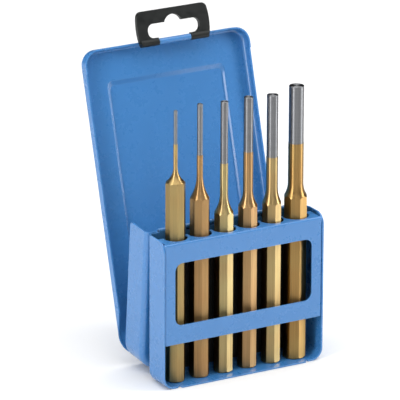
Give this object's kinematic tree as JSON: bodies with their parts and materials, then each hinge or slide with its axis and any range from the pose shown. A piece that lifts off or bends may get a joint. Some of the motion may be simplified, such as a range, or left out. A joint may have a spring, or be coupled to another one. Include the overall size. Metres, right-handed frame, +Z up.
{
  "type": "drive pin punch set in a folding stand case",
  "caption": "Drive pin punches with octagonal shanks standing in a rack inside a folding sheet steel case with a lid and a plastic hanger.",
  "frame": {"origin": "on the table, in the middle of the underside of the front tray", "axes": "+X along the row from the smallest punch to the largest, +Y from the front of the case to its back, +Z up"},
  "size_m": [0.101, 0.0902, 0.1807],
  "materials": {
    "case_paint": "gloss",
    "liner_rubber": "matte",
    "hinge_steel": "satin",
    "hanger_plastic": "satin",
    "punch_lacquer": "satin"
  },
  "bodies": {
    "tray": {"upper_tray": "case_paint", "tool_rack": "case_paint", "back_liner": "liner_rubber", "fold_hinge_wire": "hinge_steel"},
    "lower_shell": {"lower_shell": "case_paint", "lid_hinge_wire": "hinge_steel"},
    "lid": {"lid": "case_paint"},
    "hanger": {"hanger": "hanger_plastic"},
    "punch_2mm": {"punch_2mm": "punch_lacquer"},
    "punch_3mm": {"punch_3mm": "punch_lacquer"},
    "punch_4mm": {"punch_4mm": "punch_lacquer"},
    "punch_5mm": {"punch_5mm": "punch_lacquer"},
    "punch_6mm": {"punch_6mm": "punch_lacquer"},
    "punch_8mm": {"punch_8mm": "punch_lacquer"}
  },
  "joints": [
    {"name": "fold", "type": "hinge", "parent": "tray", "child": "lower_shell", "pos_m": [0, 0.0093, 0.0824], "axis": [-1, 0, 0], "range_deg": [-175.5, 0]},
    {"name": "lid_swing", "type": "hinge", "parent": "lower_shell", "child": "lid", "pos_m": [0, 0.03443, 0.00268], "axis": [1, 0, 0], "range_deg": [-160, 0]},
    {"name": "hanger_swing", "type": "hinge", "parent": "lid", "child": "hanger", "pos_m": [0.004, 0.07327, 0.16387], "axis": [-1, 0, 0], "range_deg": [-150, 25]},
    {"name": "punch_2mm_lift", "type": "slide", "parent": "tray", "child": "punch_2mm", "axis": [0, 0, 1], "range_m": [0, 0.085]},
    {"name": "punch_3mm_lift", "type": "slide", "parent": "tray", "child": "punch_3mm", "axis": [0, 0, 1], "range_m": [0, 0.085]},
    {"name": "punch_4mm_lift", "type": "slide", "parent": "tray", "child": "punch_4mm", "axis": [0, 0, 1], "range_m": [0, 0.085]},
    {"name": "punch_5mm_lift", "type": "slide", "parent": "tray", "child": "punch_5mm", "axis": [0, 0, 1], "range_m": [0, 0.085]},
    {"name": "punch_6mm_lift", "type": "slide", "parent": "tray", "child": "punch_6mm", "axis": [0, 0, 1], "range_m": [0, 0.085]},
    {"name": "punch_8mm_lift", "type": "slide", "parent": "tray", "child": "punch_8mm", "axis": [0, 0, 1], "range_m": [0, 0.085]}
  ],
  "couplings": [
    {"joint": "lid_swing", "follows": "fold", "ratio": 0.909}
  ]
}
